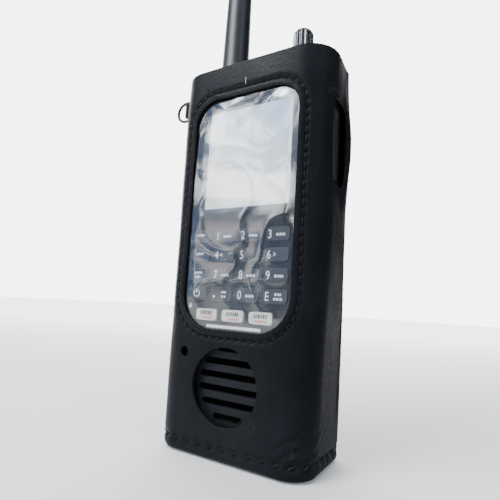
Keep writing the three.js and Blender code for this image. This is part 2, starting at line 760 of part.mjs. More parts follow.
function tube([z0, z1], radius, bore, facets = ROUND) {
  return cut(solid(post(0, 0, [z0, z1], radius, facets)), post(0, 0, [z0 - 1, z1 + 1], bore, facets));
}

function antennaSocket() {
  const { radius, bore, z, lip, lipThickness, floor } = SOCKET;
  const ceiling = BODY_Z[1] - SIDE_WALL - GAP;
  return cut(
    join(post(0, 0, z, radius), post(0, 0, [ceiling - lipThickness, ceiling], radius + lip)),
    post(0, 0, [z[0] + floor, z[1] + 1], bore, ROUND / 2),
  );
}

function collar() {
  const { radius, bore, z, topHole, cap, ribs, ribDepth, foot } = COLLAR;
  return cut(
    join(
      post(0, 0, [z[0], z[0] + foot], radius - ribDepth),
      fluted(radius, ribDepth, ribs, [z[0] + foot - OVERLAP, z[1]]),
    ),
    post(0, 0, [z[0] - 1, z[1] - cap], bore),
    post(0, 0, [z[0], z[1] + 1], topHole, ROUND / 2),
  );
}

// The rubber whip: a flared boot that thins to a long stem with a round tip.
function whip() {
  const { neck, pin, pinZ, neckZ, z, topZ, tip } = WHIP;
  const outline = [
    [0, pinZ],
    [pin, pinZ],
    [pin, neckZ],
    [neck, neckZ],
    [neck, z],
    ...WHIP_TAPER.map(([radius, height]) => [radius, z + height]),
  ];
  for (let i = 0; i < CORNER; i++) {
    const angle = ((i / CORNER) * Math.PI) / 2;
    outline.push([tip * Math.cos(angle), topZ - tip + tip * Math.sin(angle)]);
  }
  outline.push([0, topZ]);
  const profile = outline.map(([r, height]) => new THREE.Vector2(r, height));
  return solid(new THREE.LatheGeometry(profile, WHIP_FACETS).rotateX(Math.PI / 2));
}

function scannerGroup() {
  const group = new THREE.Group();
  group.add(
    piece("front_housing", frontHousing(), housingPlastic),
    piece("rear_housing", rearHousing(), housingPlastic),
    piece("battery_door", batteryDoor(), housingPlastic),
    piece("port_cover", portCover(), blackRubber),
    ...insidePieces(),
    ...jackPieces(),
    ...screwPlaces().map(([name, x, z]) => piece(name, screw(x, z), darkSteel)),
    ...keyLayout().map(keyMesh),
  );
  const control = new THREE.Group();
  control.position.x = KNOB.x;
  control.add(
    piece("tuning_knob", knob(), knobPlastic),
    piece("encoder_shaft", post(0, 0, SHAFT.z, SHAFT.radius, ROUND / 2), brightSteel),
    piece("encoder_bushing", tube(BUSHING.z, BUSHING.radius, BUSHING.bore), brightSteel),
  );
  const antenna = new THREE.Group();
  antenna.position.x = ANTENNA_X;
  antenna.add(
    piece("antenna_socket", antennaSocket(), brightSteel),
    piece("antenna_collar", collar(), darkSteel),
    piece("antenna_whip", whip(), blackRubber),
  );
  group.add(control, antenna);
  return group;
}

const model = new THREE.Group();
model.add(caseGroup(), scannerGroup());

export default model;
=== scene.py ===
import math

import bmesh
import bpy
from mathutils import Matrix, Vector, kdtree, noise


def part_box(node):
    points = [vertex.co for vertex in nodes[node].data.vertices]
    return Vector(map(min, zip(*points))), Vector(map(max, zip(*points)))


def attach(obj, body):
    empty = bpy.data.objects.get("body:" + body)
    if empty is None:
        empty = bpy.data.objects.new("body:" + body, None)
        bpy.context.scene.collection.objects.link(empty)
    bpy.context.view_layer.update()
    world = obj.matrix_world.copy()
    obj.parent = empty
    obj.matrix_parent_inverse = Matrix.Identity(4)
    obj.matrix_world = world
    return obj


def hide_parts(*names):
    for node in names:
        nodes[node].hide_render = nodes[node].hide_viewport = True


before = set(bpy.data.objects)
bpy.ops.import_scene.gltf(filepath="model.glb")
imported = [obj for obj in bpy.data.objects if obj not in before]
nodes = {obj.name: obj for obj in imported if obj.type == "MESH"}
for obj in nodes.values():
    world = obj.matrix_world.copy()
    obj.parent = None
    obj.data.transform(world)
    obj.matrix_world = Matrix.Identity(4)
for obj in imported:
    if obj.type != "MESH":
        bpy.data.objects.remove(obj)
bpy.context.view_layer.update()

mm = 0.001
print("frame loaded:", len(nodes), "nodes")


def lerp(a, b, t):
    return a + (b - a) * t


def ease(value, start, end):
    # 0 before the start, 1 past the end, soft between
    t = min(max((value - start) / (end - start), 0), 1)
    return t * t * (3 - 2 * t)


def bump(distance, width):
    # a soft bell, 1 at its middle
    return math.exp(-((distance / width) ** 2))


# camera, light and floor

camera = {
    "place": (0.07975, -0.13887, 0.05535),
    "yaw": -30.94,
    "pitch": 7.68,
    "roll": 3.47,
    "lens": 28.78,
}
studio = {
    "floor": 3.0,
    "floorColour": (0.66, 0.66, 0.66),
    "floorGlow": (0.05, 3.0),
    "glowWay": (-0.51, 0.86, 0.0),
    "glowReach": (-0.12, 0.9),
    "skyColour": (0.30, 0.31, 0.33),
}
# each part of the room: the way it lies, the cosines where it begins and is full, its colour
skyParts = (
    ((-0.56, -0.82, 0.15), (0.62, 0.90), (0.38, 0.60, 1.02)),
    ((-0.53, 0.81, 0.22), (0.66, 0.78), (6.0, 6.0, 6.0)),
    ((1.0, 0.0, 0.0), (0.04, 0.12), (0.05, 0.05, 0.055)),
    ((0.55, -0.83, 0.10), (0.30, 0.70), (0.22, 0.23, 0.25)),
    ((0.17, -0.86, 0.47), (0.90, 0.97), (0.55, 0.68, 0.95)),
)
# name: place, aim, width and height, strength in watts, colour
lamps = {
    "cloud_lamp_1": ((-0.47, -0.73, 0.36), (0, 0, 0.11), (0.40, 0.075), 0.60, (1.0, 0.98, 0.94)),
    "cloud_lamp_2": ((-0.52, -0.62, 0.50), (0, 0, 0.11), (0.24, 0.11), 0.52, (1.0, 0.98, 0.95)),
    "cloud_lamp_3": ((-0.27, -0.72, 0.60), (0, 0, 0.11), (0.26, 0.08), 0.34, (1.0, 0.99, 0.97)),
    "cloud_lamp_4": ((-0.75, -0.46, 0.38), (0, 0, 0.11), (0.12, 0.45), 0.85, (1.0, 0.99, 0.97)),
    "cloud_lamp_5": ((-0.16, -0.86, 0.40), (0, 0, 0.11), (0.06, 0.34), 0.45, (1.0, 0.99, 0.97)),
    "low_cloud_lamp_1": ((-0.55, -0.74, 0.245), (0, 0, 0.08), (0.24, 0.07), 0.15, (1.0, 0.89, 0.76)),
    "low_cloud_lamp_2": ((-0.64, -0.67, 0.13), (0, 0, 0.08), (0.07, 0.15), 0.10, (1.0, 0.88, 0.74)),
    "low_cloud_lamp_3": ((-0.46, -0.80, 0.12), (0, 0, 0.08), (0.08, 0.06), 0.045, (1.0, 0.88, 0.74)),
    "fill_lamp": ((-0.28, -0.50, 0.85), (0, 0, 0.10), (0.40, 0.40), 4.4, (0.93, 0.96, 1.0)),
    "high_lamp": ((0.10, -0.10, 1.1), (0, 0, 0.0), (0.8, 0.8), 6.0, (0.95, 0.97, 1.0)),
    "near_lamp": ((-0.09, -0.23, 0.36), (-0.005, -0.01, 0.16), (0.14, 0.10), 1.45, (0.92, 0.96, 1.0)),
    "rim_lamp": ((0.60, -0.22, 0.46), (0, 0, 0.13), (0.10, 0.3), 1.6, (0.72, 0.84, 1.0)),
}


def makeCamera():
    yaw, pitch, roll = (math.radians(camera[k]) for k in ("yaw", "pitch", "roll"))
    forward = Vector((math.sin(yaw) * math.cos(pitch), math.cos(yaw) * math.cos(pitch), math.sin(pitch)))
    right = forward.cross(Vector((0, 0, 1))).normalized()
    up = right.cross(forward)
    side = right * math.cos(roll) + up * math.sin(roll)
    top = up * math.cos(roll) - right * math.sin(roll)
    data = bpy.data.cameras.new("camera")
    data.sensor_width = 36
    data.lens = camera["lens"]
    data.clip_start = 0.005
    obj = bpy.data.objects.new("camera", data)
    turn = Matrix((side, top, -forward)).transposed().to_4x4()
    obj.matrix_world = Matrix.Translation(camera["place"]) @ turn
    bpy.context.scene.collection.objects.link(obj)
    bpy.context.scene.camera = obj


def makeLamps():
    for name, (place, aim, size, strength, colour) in lamps.items():
        data = bpy.data.lights.new(name, "AREA")
        data.shape = "RECTANGLE"
        data.size, data.size_y = size
        data.energy = strength
        data.color = colour
        obj = bpy.data.objects.new(name, data)
        obj.location = place
        obj.rotation_mode = "QUATERNION"
        obj.rotation_quaternion = (Vector(aim) - Vector(place)).to_track_quat("-Z", "Y")
        bpy.context.scene.collection.objects.link(obj)


def makeSky():
    world = bpy.data.worlds.new("studio")
    bpy.context.scene.world = world
    world.use_nodes = True
    tree = world.node_tree
    background = tree.nodes["Background"]
    way = tree.nodes.new("ShaderNodeTexCoord")
    below = None
    for middle, spread, colour in skyParts:
        facing = tree.nodes.new("ShaderNodeVectorMath")
        facing.operation = "DOT_PRODUCT"
        facing.inputs[1].default_value = Vector(middle).normalized()
        fade = tree.nodes.new("ShaderNodeMapRange")
        fade.interpolation_type = "SMOOTHSTEP"
        fade.inputs["From Min"].default_value = spread[0]
        fade.inputs["From Max"].default_value = spread[1]
        mix = tree.nodes.new("ShaderNodeMixRGB")
        mix.inputs["Color1"].default_value = (*studio["skyColour"], 1)
        mix.inputs["Color2"].default_value = (*colour, 1)
        tree.links.new(way.outputs["Generated"], facing.inputs[0])
        tree.links.new(facing.outputs["Value"], fade.inputs["Value"])
        tree.links.new(fade.outputs["Result"], mix.inputs["Fac"])
        if below:
            tree.links.new(below, mix.inputs["Color1"])
        below = mix.outputs["Color"]
    tree.links.new(below, background.inputs["Color"])


makeCamera()
makeLamps()
makeSky()
print("camera and lamps set")


# materials

def newMaterial(name, colour, roughness, **values):
    material = bpy.data.materials.new(name)
    material.use_nodes = True
    shader = material.node_tree.nodes["Principled BSDF"]
    shader.inputs["Base Color"].default_value = (*colour, 1)
    shader.inputs["Roughness"].default_value = roughness
    for key, value in values.items():
        shader.inputs[key.replace("_", " ")].default_value = value
    return material, shader


def addNode(material, kind, **settings):
    node = material.node_tree.nodes.new("ShaderNode" + kind)
    for key, value in settings.items():
        if key in node.inputs:
            node.inputs[key].default_value = value
        else:
            setattr(node, key, value)
    return node


def link(material, source, target):
    material.node_tree.links.new(source, target)


def objectPoint(material):
    return addNode(material, "TexCoord").outputs["Object"]


def noiseNode(material, scale, detail=3.0, roughness=0.5):
    node = addNode(material, "TexNoise", Scale=scale, Detail=detail, Roughness=roughness)
    link(material, objectPoint(material), node.inputs["Vector"])
    return node


def ramp(material, source, low, high, lowAt=0.3, highAt=0.7):
    node = addNode(material, "ValToRGB")
    node.color_ramp.elements[0].position = lowAt
    node.color_ramp.elements[1].position = highAt
    node.color_ramp.elements[0].color = (*low, 1) if len(low) == 3 else low
    node.color_ramp.elements[1].color = (*high, 1) if len(high) == 3 else high
    link(material, source, node.inputs["Fac"])
    return node.outputs["Color"]


def varyRoughness(material, shader, source, low, high):
    node = addNode(material, "MapRange")
    node.inputs["To Min"].default_value = low
    node.inputs["To Max"].default_value = high
    link(material, source, node.inputs["Value"])
    link(material, node.outputs["Result"], shader.inputs["Roughness"])


def addBump(material, shader, source, distance, strength=1.0):
    # each call lies on top of the one before
    node = addNode(material, "Bump", Strength=strength, Distance=distance)
    link(material, source, node.inputs["Height"])
    below = shader.inputs["Normal"].links
    if below:
        link(material, below[0].from_socket, node.inputs["Normal"])
    link(material, node.outputs["Normal"], shader.inputs["Normal"])


def moulded(name, dark, light, roughness, grain, depth, **values):
    # moulded plastic or rubber: a fine spark texture with a faint change of shade
    material, shader = newMaterial(name, light, roughness, **values)
    shade = noiseNode(material, 60.0)
    link(material, ramp(material, shade.outputs["Fac"], dark, light), shader.inputs["Base Color"])
    fine = noiseNode(material, grain, 2.0, 0.6)
    varyRoughness(material, shader, fine.outputs["Fac"], roughness - 0.06, roughness + 0.08)
    addBump(material, shader, fine.outputs["Fac"], depth)
    return material


def metal(name, colour, roughness, scratch=900.0):
    material, shader = newMaterial(name, colour, roughness, Metallic=1.0)
    wear = noiseNode(material, scratch, 4.0, 0.7)
    varyRoughness(material, shader, wear.outputs["Fac"], roughness * 0.7, roughness * 1.5)
    tone = ramp(material, noiseNode(material, 90.0).outputs["Fac"], [c * 0.82 for c in colour], colour)
    link(material, tone, shader.inputs["Base Color"])
    addBump(material, shader, wear.outputs["Fac"], 0.01 * mm)
    return material


# lighter spots on the leather, the strongest one, by the cutout's top end, a painted highlight: middle in
# millimetres, reach, strength
lighterSpots = (
    ((27, -16, 8), 9, 0.35),
    ((-1, -17, 6), 34, 0.12),
    ((11, -17, 15), 5, 0.25),
    ((33, -9, 134), 4, 1.0),
    ((24, -16, 100), 16, 0.25),
)


def wearMask(material):
    # where the spots lie, broken up by a coarse speckle
    total = None
    for middle, reach, strength in lighterSpots:
        away = addNode(material, "VectorMath", operation="DISTANCE")
        away.inputs[1].default_value = Vector(middle) * mm
        link(material, objectPoint(material), away.inputs[0])
        near = addNode(material, "MapRange", interpolation_type="SMOOTHSTEP")
        near.inputs["From Min"].default_value = reach * mm
        near.inputs["From Max"].default_value = 0
        near.inputs["To Max"].default_value = strength
        link(material, away.outputs["Value"], near.inputs["Value"])
        value = near.outputs["Result"]
        if total:
            larger = addNode(material, "Math", operation="MAXIMUM")
            link(material, total, larger.inputs[0])
            link(material, value, larger.inputs[1])
            value = larger.outputs["Value"]
        total = value
    speckle = noiseNode(material, 900.0, 5.0, 0.75)
    sharp = addNode(material, "MapRange")
    sharp.inputs["From Min"].default_value = 0.52
    sharp.inputs["From Max"].default_value = 0.68
    link(material, speckle.outputs["Fac"], sharp.inputs["Value"])
    both = addNode(material, "Math", operation="MULTIPLY")
    link(material, total, both.inputs[0])
    link(material, sharp.outputs["Result"], both.inputs[1])
    return both.outputs["Value"]


# the leather is duller towards its right: where the change starts and ends, the shine there
shine = {"along": (6 * mm, 28 * mm), "levels": (0.06, 0.018)}


def leatherMaterial(name, dark, light, spotColour, roughness, grainDepth, withSpots=True):
    material, shader = newMaterial(name, light, roughness)
    place = addNode(material, "SeparateXYZ")
    link(material, objectPoint(material), place.inputs["Vector"])
    level = addNode(material, "MapRange", interpolation_type="SMOOTHSTEP")
    level.inputs["From Min"].default_value, level.inputs["From Max"].default_value = shine["along"]
    level.inputs["To Min"].default_value, level.inputs["To Max"].default_value = shine["levels"]
    link(material, place.outputs["X"], level.inputs["Value"])
    link(material, level.outputs["Result"], shader.inputs["Specular IOR Level"])
    patches = noiseNode(material, 38.0, 4.0, 0.55)
    tone = ramp(material, patches.outputs["Fac"], dark, light)
    # mixes in the lighter spots, one of them a painted highlight
    if withSpots:
        wear = wearMask(material)
        mix = addNode(material, "MixRGB")
        mix.inputs["Color2"].default_value = (*spotColour, 1)
        link(material, wear, mix.inputs["Fac"])
        link(material, tone, mix.inputs["Color1"])
        tone = mix.outputs["Color"]
    link(material, tone, shader.inputs["Base Color"])
    fine = noiseNode(material, 700.0, 3.0, 0.6)
    varyRoughness(material, shader, fine.outputs["Fac"], roughness - 0.12, roughness + 0.14)
    pebble = addNode(material, "TexVoronoi", Scale=850.0, feature="SMOOTH_F1", Smoothness=0.35)
    link(material, objectPoint(material), pebble.inputs["Vector"])
    addBump(material, shader, pebble.outputs["Distance"], grainDepth)
    pore = noiseNode(material, 2200.0, 3.0, 0.7)
    addBump(material, shader, pore.outputs["Fac"], grainDepth * 0.6)
    return material


def clearMaterial(name, tint, roughness, leastMirror, ripple):
    # shows what is behind it and mirrors what is in front
    material, shader = newMaterial(name, (0.96, 0.97, 0.98), roughness, Metallic=1.0)
    haze = noiseNode(material, 140.0, 3.0, 0.5)
    addBump(material, shader, haze.outputs["Fac"], ripple)
    clear = addNode(material, "BsdfTransparent")
    clear.inputs["Color"].default_value = (*tint, 1)
    mirror = addNode(material, "LayerWeight", Blend=0.28)
    amount = addNode(material, "MapRange")
    amount.inputs["To Min"].default_value = leastMirror
    amount.inputs["To Max"].default_value = 0.95
    link(material, mirror.outputs["Fresnel"], amount.inputs["Value"])
    mix = addNode(material, "MixShader")
    link(material, amount.outputs["Result"], mix.inputs["Fac"])
    link(material, clear.outputs["BSDF"], mix.inputs[1])
    link(material, shader.outputs["BSDF"], mix.inputs[2])
    output = material.node_tree.nodes["Material Output"]
    link(material, mix.outputs["Shader"], output.inputs["Surface"])
    return material


blackLeather = leatherMaterial(
    "black_leather", (0.0055, 0.0060, 0.0074), (0.0105, 0.0114, 0.0136), (0.06, 0.062, 0.068),
    0.40, 0.06 * mm,
)
rawLeather = leatherMaterial(
    "raw_leather_edge", (0.010, 0.010, 0.011), (0.034, 0.034, 0.034), (0, 0, 0), 0.85, 0.3 * mm, withSpots=False,
)
blackThread = moulded(
    "black_thread", (0.004, 0.004, 0.005), (0.010, 0.010, 0.012), 0.5, 4000.0, 0.05 * mm,
    Specular_IOR_Level=0.2,
)
paleThread = moulded("pale_thread", (0.35, 0.35, 0.36), (0.5, 0.5, 0.5), 0.7, 4000.0, 0.03 * mm)
clearFilm = clearMaterial("clear_film", (0.93, 0.95, 0.97), 0.13, 0.11, 0.05 * mm)
clearLens = clearMaterial("clear_lens", (0.97, 0.98, 0.98), 0.03, 0.03, 0.0)
housingPlastic = moulded(
    "housing_plastic", (0.006, 0.007, 0.009), (0.010, 0.0115, 0.0145), 0.5, 2400.0, 0.02 * mm,
    Specular_IOR_Level=0.15,
)
speakerBlack = moulded(
    "speaker_black", (0.0015, 0.0015, 0.0015), (0.003, 0.003, 0.003), 0.9, 1800.0, 0.03 * mm,
    Specular_IOR_Level=0.05,
)
coverRubber = moulded("cover_rubber", (0.010, 0.010, 0.011), (0.016, 0.016, 0.017), 0.55, 2600.0, 0.03 * mm)
keyPlastic = moulded("key_plastic", (0.018, 0.021, 0.028), (0.026, 0.03, 0.038), 0.42, 2600.0, 0.015 * mm)
paleRubber = moulded("pale_key_rubber", (0.68, 0.65, 0.58), (0.8, 0.77, 0.7), 0.5, 2000.0, 0.015 * mm)
# white print with a painted glow: the ink gives off faint light of its own though it is no lamp
whiteInkPaintedGlow = moulded(
    "white_ink_painted_glow", (0.80, 0.81, 0.83), (0.9, 0.91, 0.93), 0.5, 3000.0, 0.01 * mm,
    Emission_Color=(0.9, 0.95, 1.0, 1), Emission_Strength=0.22,
)
redInk = moulded("red_ink", (0.62, 0.10, 0.09), (0.72, 0.14, 0.12), 0.5, 3000.0, 0.01 * mm)
darkInk = moulded("dark_ink", (0.03, 0.03, 0.035), (0.05, 0.05, 0.055), 0.5, 3000.0, 0.01 * mm)
blackRubber = moulded(
    "black_rubber", (0.006, 0.006, 0.008), (0.011, 0.011, 0.014), 0.42, 2600.0, 0.02 * mm,
    Specular_IOR_Level=0.35,
)
knobPlastic = moulded(
    "knob_plastic", (0.006, 0.006, 0.007), (0.01, 0.01, 0.011), 0.25, 900.0, 0.01 * mm, Coat_Weight=0.12,
)
darkSteel = metal("dark_steel", (0.07, 0.07, 0.075), 0.34)
brightSteel = metal("bright_steel", (0.66, 0.66, 0.67), 0.2)
boardGreen = moulded("board_green", (0.02, 0.09, 0.04), (0.03, 0.13, 0.06), 0.4, 1500.0, 0.02 * mm)
cellSleeve = moulded("cell_sleeve", (0.04, 0.13, 0.07), (0.05, 0.17, 0.09), 0.35, 500.0, 0.01 * mm)


def screenMaterial():
    # a blank display whose emission is painted light: a painted glow and a painted reflection of sky and
    # clouds, cream at its lower left and cooler towards its upper right
    material, shader = newMaterial("screen_painted_reflection", (0.42, 0.45, 0.48), 0.3, Emission_Strength=1.35)
    slant = addNode(material, "VectorMath", operation="DOT_PRODUCT")
    slant.inputs[1].default_value = (11.0, 0, 14.0)
    link(material, objectPoint(material), slant.inputs[0])
    cloud = noiseNode(material, 45.0, 3.0, 0.5)
    both = addNode(material, "Math", operation="ADD")
    link(material, slant.outputs["Value"], both.inputs[0])
    link(material, cloud.outputs["Fac"], both.inputs[1])
    colour = ramp(material, both.outputs["Value"], (1.0, 0.98, 0.93), (0.36, 0.60, 0.95), 0.3, 1.0)
    spread = addNode(material, "MapRange")
    spread.inputs["From Min"].default_value = 1.75
    spread.inputs["From Max"].default_value = 2.75
    link(material, both.outputs["Value"], spread.inputs["Value"])
    link(material, spread.outputs["Result"], colour.node.inputs["Fac"])
    link(material, colour, shader.inputs["Emission Color"])
    return material


screenPaintedReflection = screenMaterial()
print("materials made")


# making pieces

def finishPiece(bm, name, materials, body, standsFor=(), smoothAngle=35.0):
    for edge in bm.edges:
        edge.smooth = len(edge.link_faces) != 2 or edge.calc_face_angle(0) < math.radians(smoothAngle)
    for face in bm.faces:
        face.smooth = True
    mesh = bpy.data.meshes.new(name)
    bm.to_mesh(mesh)
    bm.free()
    for material in materials:
        mesh.materials.append(material)
    obj = bpy.data.objects.new(name, mesh)
    bpy.context.scene.collection.objects.link(obj)
    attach(obj, body)
    if standsFor:
        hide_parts(*standsFor)
    return obj


def roundEdges(obj, width, segments=2, angle=40.0, material=-1):
    modifier = obj.modifiers.new("rounded", "BEVEL")
    modifier.width = width
    modifier.segments = segments
    modifier.limit_method = "ANGLE"
    modifier.angle_limit = math.radians(angle)
    modifier.harden_normals = True
    modifier.material = material


# how near two points must lie to be made one
merge = {"cad": 0.002 * mm, "turned": 0.001 * mm}


def refine(node, materials, body, width, segments=2, name=None):
    # the CAD solid with its flat faces joined up and its edges rounded
    bm = bmesh.new()
    bm.from_mesh(nodes[node].data)
    bmesh.ops.remove_doubles(bm, verts=bm.verts, dist=merge["cad"])
    bmesh.ops.dissolve_limit(bm, angle_limit=math.radians(1), verts=bm.verts, edges=bm.edges)
    obj = finishPiece(bm, name or node + "_piece", materials, body, [node])
    roundEdges(obj, width, segments)
    return obj


# leather case

wrapLow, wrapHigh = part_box("case_wrap")
caseShape = {
    "height": wrapHigh.z,
    "depth": -2 * wrapLow.y,
    "mouthWidth": 2 * wrapHigh.x,
    "footWidth": 62.4 * mm,
    "bulge": 1.2 * mm,
    "frontRadii": (10 * mm, 12 * mm),
    "rearRadii": (5 * mm, 14 * mm),
    "footRadius": 2.5 * mm,
    "thickness": 1.1 * mm,
    "seam": 9 * mm,
    "cell": 0.66 * mm,
    "seamGap": 0.15 * mm,
    # the flat strip at the foot over which the relief fades in
    "footFade": 4 * mm,
    "edgeRound": 0.4 * mm,
    # the right wall leans in towards the rear of the mouth: how far, and where the lean starts and is full
    "lean": 0.9 * mm,
    "leanAlong": (-7 * mm, 7 * mm),
    "leanUp": (122 * mm, 150 * mm),
}
windowShape = {
    "centre": Vector((0.2 * mm, 90.9 * mm)),
    "half": Vector((23.2 * mm, 45.7 * mm)),
    "radii": (10 * mm, 13.4 * mm),
}
speakerHole = {"centre": Vector((-1.15 * mm, 25.6 * mm)), "radius": 13.7 * mm}
ventHole = {"centre": Vector((-19.9 * mm, 36.2 * mm)), "radius": 2 * mm}
sideCutout = {"y": -1.5 * mm, "z": 116.5 * mm, "half": Vector((5.5 * mm, 16.5 * mm)), "radius": 3 * mm}


def wallSize(z, face):
    u = min(max(z / caseShape["height"], 0), 1)
    width = lerp(caseShape["footWidth"], caseShape["mouthWidth"], u)
    width += caseShape["bulge"] * (1 - (2 * u - 1) ** 2)
    radii = caseShape["frontRadii"] if face < 0 else caseShape["rearRadii"]
    return width / 2, lerp(*radii, u)


def footInset(z):
    radius = caseShape["footRadius"]
    if z >= radius:
        return 0
    return radius - math.sqrt(max(radius**2 - (radius - z) ** 2, 0))


def sheetReach(face):
    # half the sheet's width, from the middle of its face round the corner to the seam
    half, radius = wallSize(caseShape["height"] / 2, face)
    side = caseShape["depth"] / 2 - radius - face * caseShape["seam"]
    return half - radius + radius * math.pi / 2 + side


def wallPoint(s, z, face, inset=0.0):
    # the point of the case s along the sheet and z up, and the way out from it
    half, radius = wallSize(z, face)
    depth = caseShape["depth"] / 2
    flat = half - radius
    arc = radius * math.pi / 2
    along = abs(s)
    if along <= flat:
        x, y, out = along, depth, Vector((0, 1))
    elif along <= flat + arc:
        angle = (along - flat) / radius
        out = Vector((math.sin(angle), math.cos(angle)))
        x, y = flat + radius * out.x, depth - radius + radius * out.y
    else:
        t = (along - flat - arc) / (sheetReach(face) - flat - arc)
        x, y, out = half, lerp(depth - radius, face * caseShape["seam"], t), Vector((1, 0))
    side = 1 if s >= 0 else -1
    if side > 0:
        full = ease(face * y, *caseShape["leanAlong"]) * ease(z, *caseShape["leanUp"])
        x *= 1 - caseShape["lean"] / half * full
    normal = Vector((side * out.x, face * out.y, 0))
    return Vector((side * x, face * y, z)) - normal * (inset + footInset(z)), normal


def sideDistance(y, z):
    # how far along the front sheet the side wall's point y lies
    half, radius = wallSize(z, -1)
    start = half - radius + radius * math.pi / 2
    top = radius - caseShape["depth"] / 2
    return start + (y - top) / (caseShape["seam"] - top) * (sheetReach(-1) - start)


def roundedBox(point, centre, half, radii):
    # signed distance to a rectangle with round corners, below zero inside
    away = point - centre
    radius = radii[0] if away.y > 0 else radii[1]
    dx = abs(away.x) - half.x + radius
    dy = abs(away.y) - half.y + radius
    return min(max(dx, dy), 0) + math.hypot(max(dx, 0), max(dy, 0)) - radius


def windowDistance(p):
    return roundedBox(p.xy, windowShape["centre"], windowShape["half"], windowShape["radii"])


def speakerDistance(p):
    return (p.xy - speakerHole["centre"]).length - speakerHole["radius"]


def ventDistance(p):
    return (p.xy - ventHole["centre"]).length - ventHole["radius"]


def cutoutDistance(p):
    centre = Vector((sideDistance(sideCutout["y"], sideCutout["z"]), sideCutout["z"]))
    return roundedBox(p.xy, centre, sideCutout["half"], (sideCutout["radius"],) * 2)


def slope(distance, p):
    step = 0.05 * mm
    dx = distance(p + Vector((step, 0, 0))) - distance(p - Vector((step, 0, 0)))
    dy = distance(p + Vector((0, step, 0))) - distance(p - Vector((0, step, 0)))
    way = Vector((dx, dy, 0))
    return way.normalized() if way.length else Vector((1, 0, 0))


def cutHole(bm, distance, cell):
    # cuts the flat sheet along an outline and draws the cut edge onto it
    inside = [f for f in bm.faces if distance(f.calc_center_median()) < 0]
    bmesh.ops.delete(bm, geom=inside, context="FACES")
    for vert in bm.verts:
        if vert.is_boundary and abs(distance(vert.co)) < 1.5 * cell:
            for _ in range(3):
                vert.co -= slope(distance, vert.co) * distance(vert.co)
    near = [v for v in bm.verts if not v.is_boundary and 0 < distance(v.co) < 5 * cell]
    for _ in range(6):
        bmesh.ops.smooth_vert(bm, verts=near, factor=0.5, use_axis_x=True, use_axis_y=True)


def flatSheet(width, low, high, cell):
    bm = bmesh.new()
    columns, rows = round(width / cell), round((high - low) / cell)
    bmesh.ops.create_grid(bm, x_segments=columns, y_segments=rows, size=1)
    for vert in bm.verts:
        vert.co = Vector((vert.co.x * width / 2, lerp(low, high, (vert.co.y + 1) / 2), 0))
    return bm


def pathAround(distance, centre, offset, pitch):
    # evenly spaced points on the line that runs at an offset outside an outline, with their directions
    ring = []
    turns = 720
    for i in range(turns):
        angle = math.pi / 2 - 2 * math.pi * i / turns
        way = Vector((math.cos(angle), math.sin(angle), 0))
        low, high = 0.0, 0.08
        for _ in range(24):
            middle = (low + high) / 2
            if distance(Vector((*centre, 0)) + way * middle) < offset:
                low = middle
            else:
                high = middle
        ring.append(Vector((*centre, 0)) + way * low)
    lengths = [(ring[(i + 1) % turns] - ring[i]).length for i in range(turns)]
    total = sum(lengths)
    count = round(total / pitch)
    places = []
    i, run = 0, 0.0
    for k in range(count):
        target = k * total / count
        while run + lengths[i] < target:
            run += lengths[i]
            i += 1
        a, b = ring[i], ring[(i + 1) % turns]
        places.append((a.lerp(b, (target - run) / lengths[i]), (b - a).normalized()))
    return places


seams = {
    "windowOffset": 2.9 * mm,
    "windowPitch": 3.3 * mm,
    "footHeight": 5.0 * mm,
    "footPitch": 5.2 * mm,
    "footSlant": 32.0,
    "sideIn": 2.2 * mm,
    "sidePitch": 4.0 * mm,
    "sideStart": 11 * mm,
    "sideEnds": 14 * mm,
    "footEnd": 2 * mm,
}

windowStitches = pathAround(
    windowDistance, windowShape["centre"], seams["windowOffset"], seams["windowPitch"],
)


def footStitches(face):
    count = int((sheetReach(face) - seams["footEnd"]) / seams["footPitch"])
    turn = math.radians(seams["footSlant"]) * -face
    way = Vector((math.cos(turn), math.sin(turn), 0))
    return [(Vector((k * seams["footPitch"], seams["footHeight"], 0)), way) for k in range(-count, count + 1)]


def treeOf(places):
    tree = kdtree.KDTree(len(places))
    for i, (point, _) in enumerate(places):
        tree.insert(point, i)
    tree.balance()
    return tree


# the leather dips at the holes, halfway between two stitches
holes = pathAround(windowDistance, windowShape["centre"], seams["windowOffset"], seams["windowPitch"] / 2)
windowTree = treeOf(holes[1::2])
footTrees = {-1: treeOf(footStitches(-1)), 1: treeOf(footStitches(1))}

relief = {
    "groove": 0.50 * mm,
    "dimple": 0.50 * mm,
    "lip": 0.20 * mm,
    "footGroove": 0.25 * mm,
    "footDimple": 0.55 * mm,
    "wave": 0.38 * mm,
    "ripple": 0.12 * mm,
    "wrinkle": 0.30 * mm,
    "swell": 2.0 * mm,
    "sink": 0.7 * mm,
    "puff": 0.22 * mm,
}
# how wide each part of the relief is, and how far from the window's edge or the cutout's rear it lies
reach = {
    "footDimple": 1.3 * mm,
    "footGroove": 1.6 * mm,
    "groove": 0.75 * mm,
    "dimple": 0.8 * mm,
    "lip": 0.9 * mm,
    "lipAt": 1.1 * mm,
    "puff": 1.3 * mm,
    "puffAt": 1.4 * mm,
    "wrinkle": 9 * mm,
    "cutout": 17 * mm,
    "swell": 3.6 * mm,
    "swellAt": 1.6 * mm,
    "sink": 3.0 * mm,
}
wrinkleMiddle = Vector((27 * mm, 9 * mm, 0))


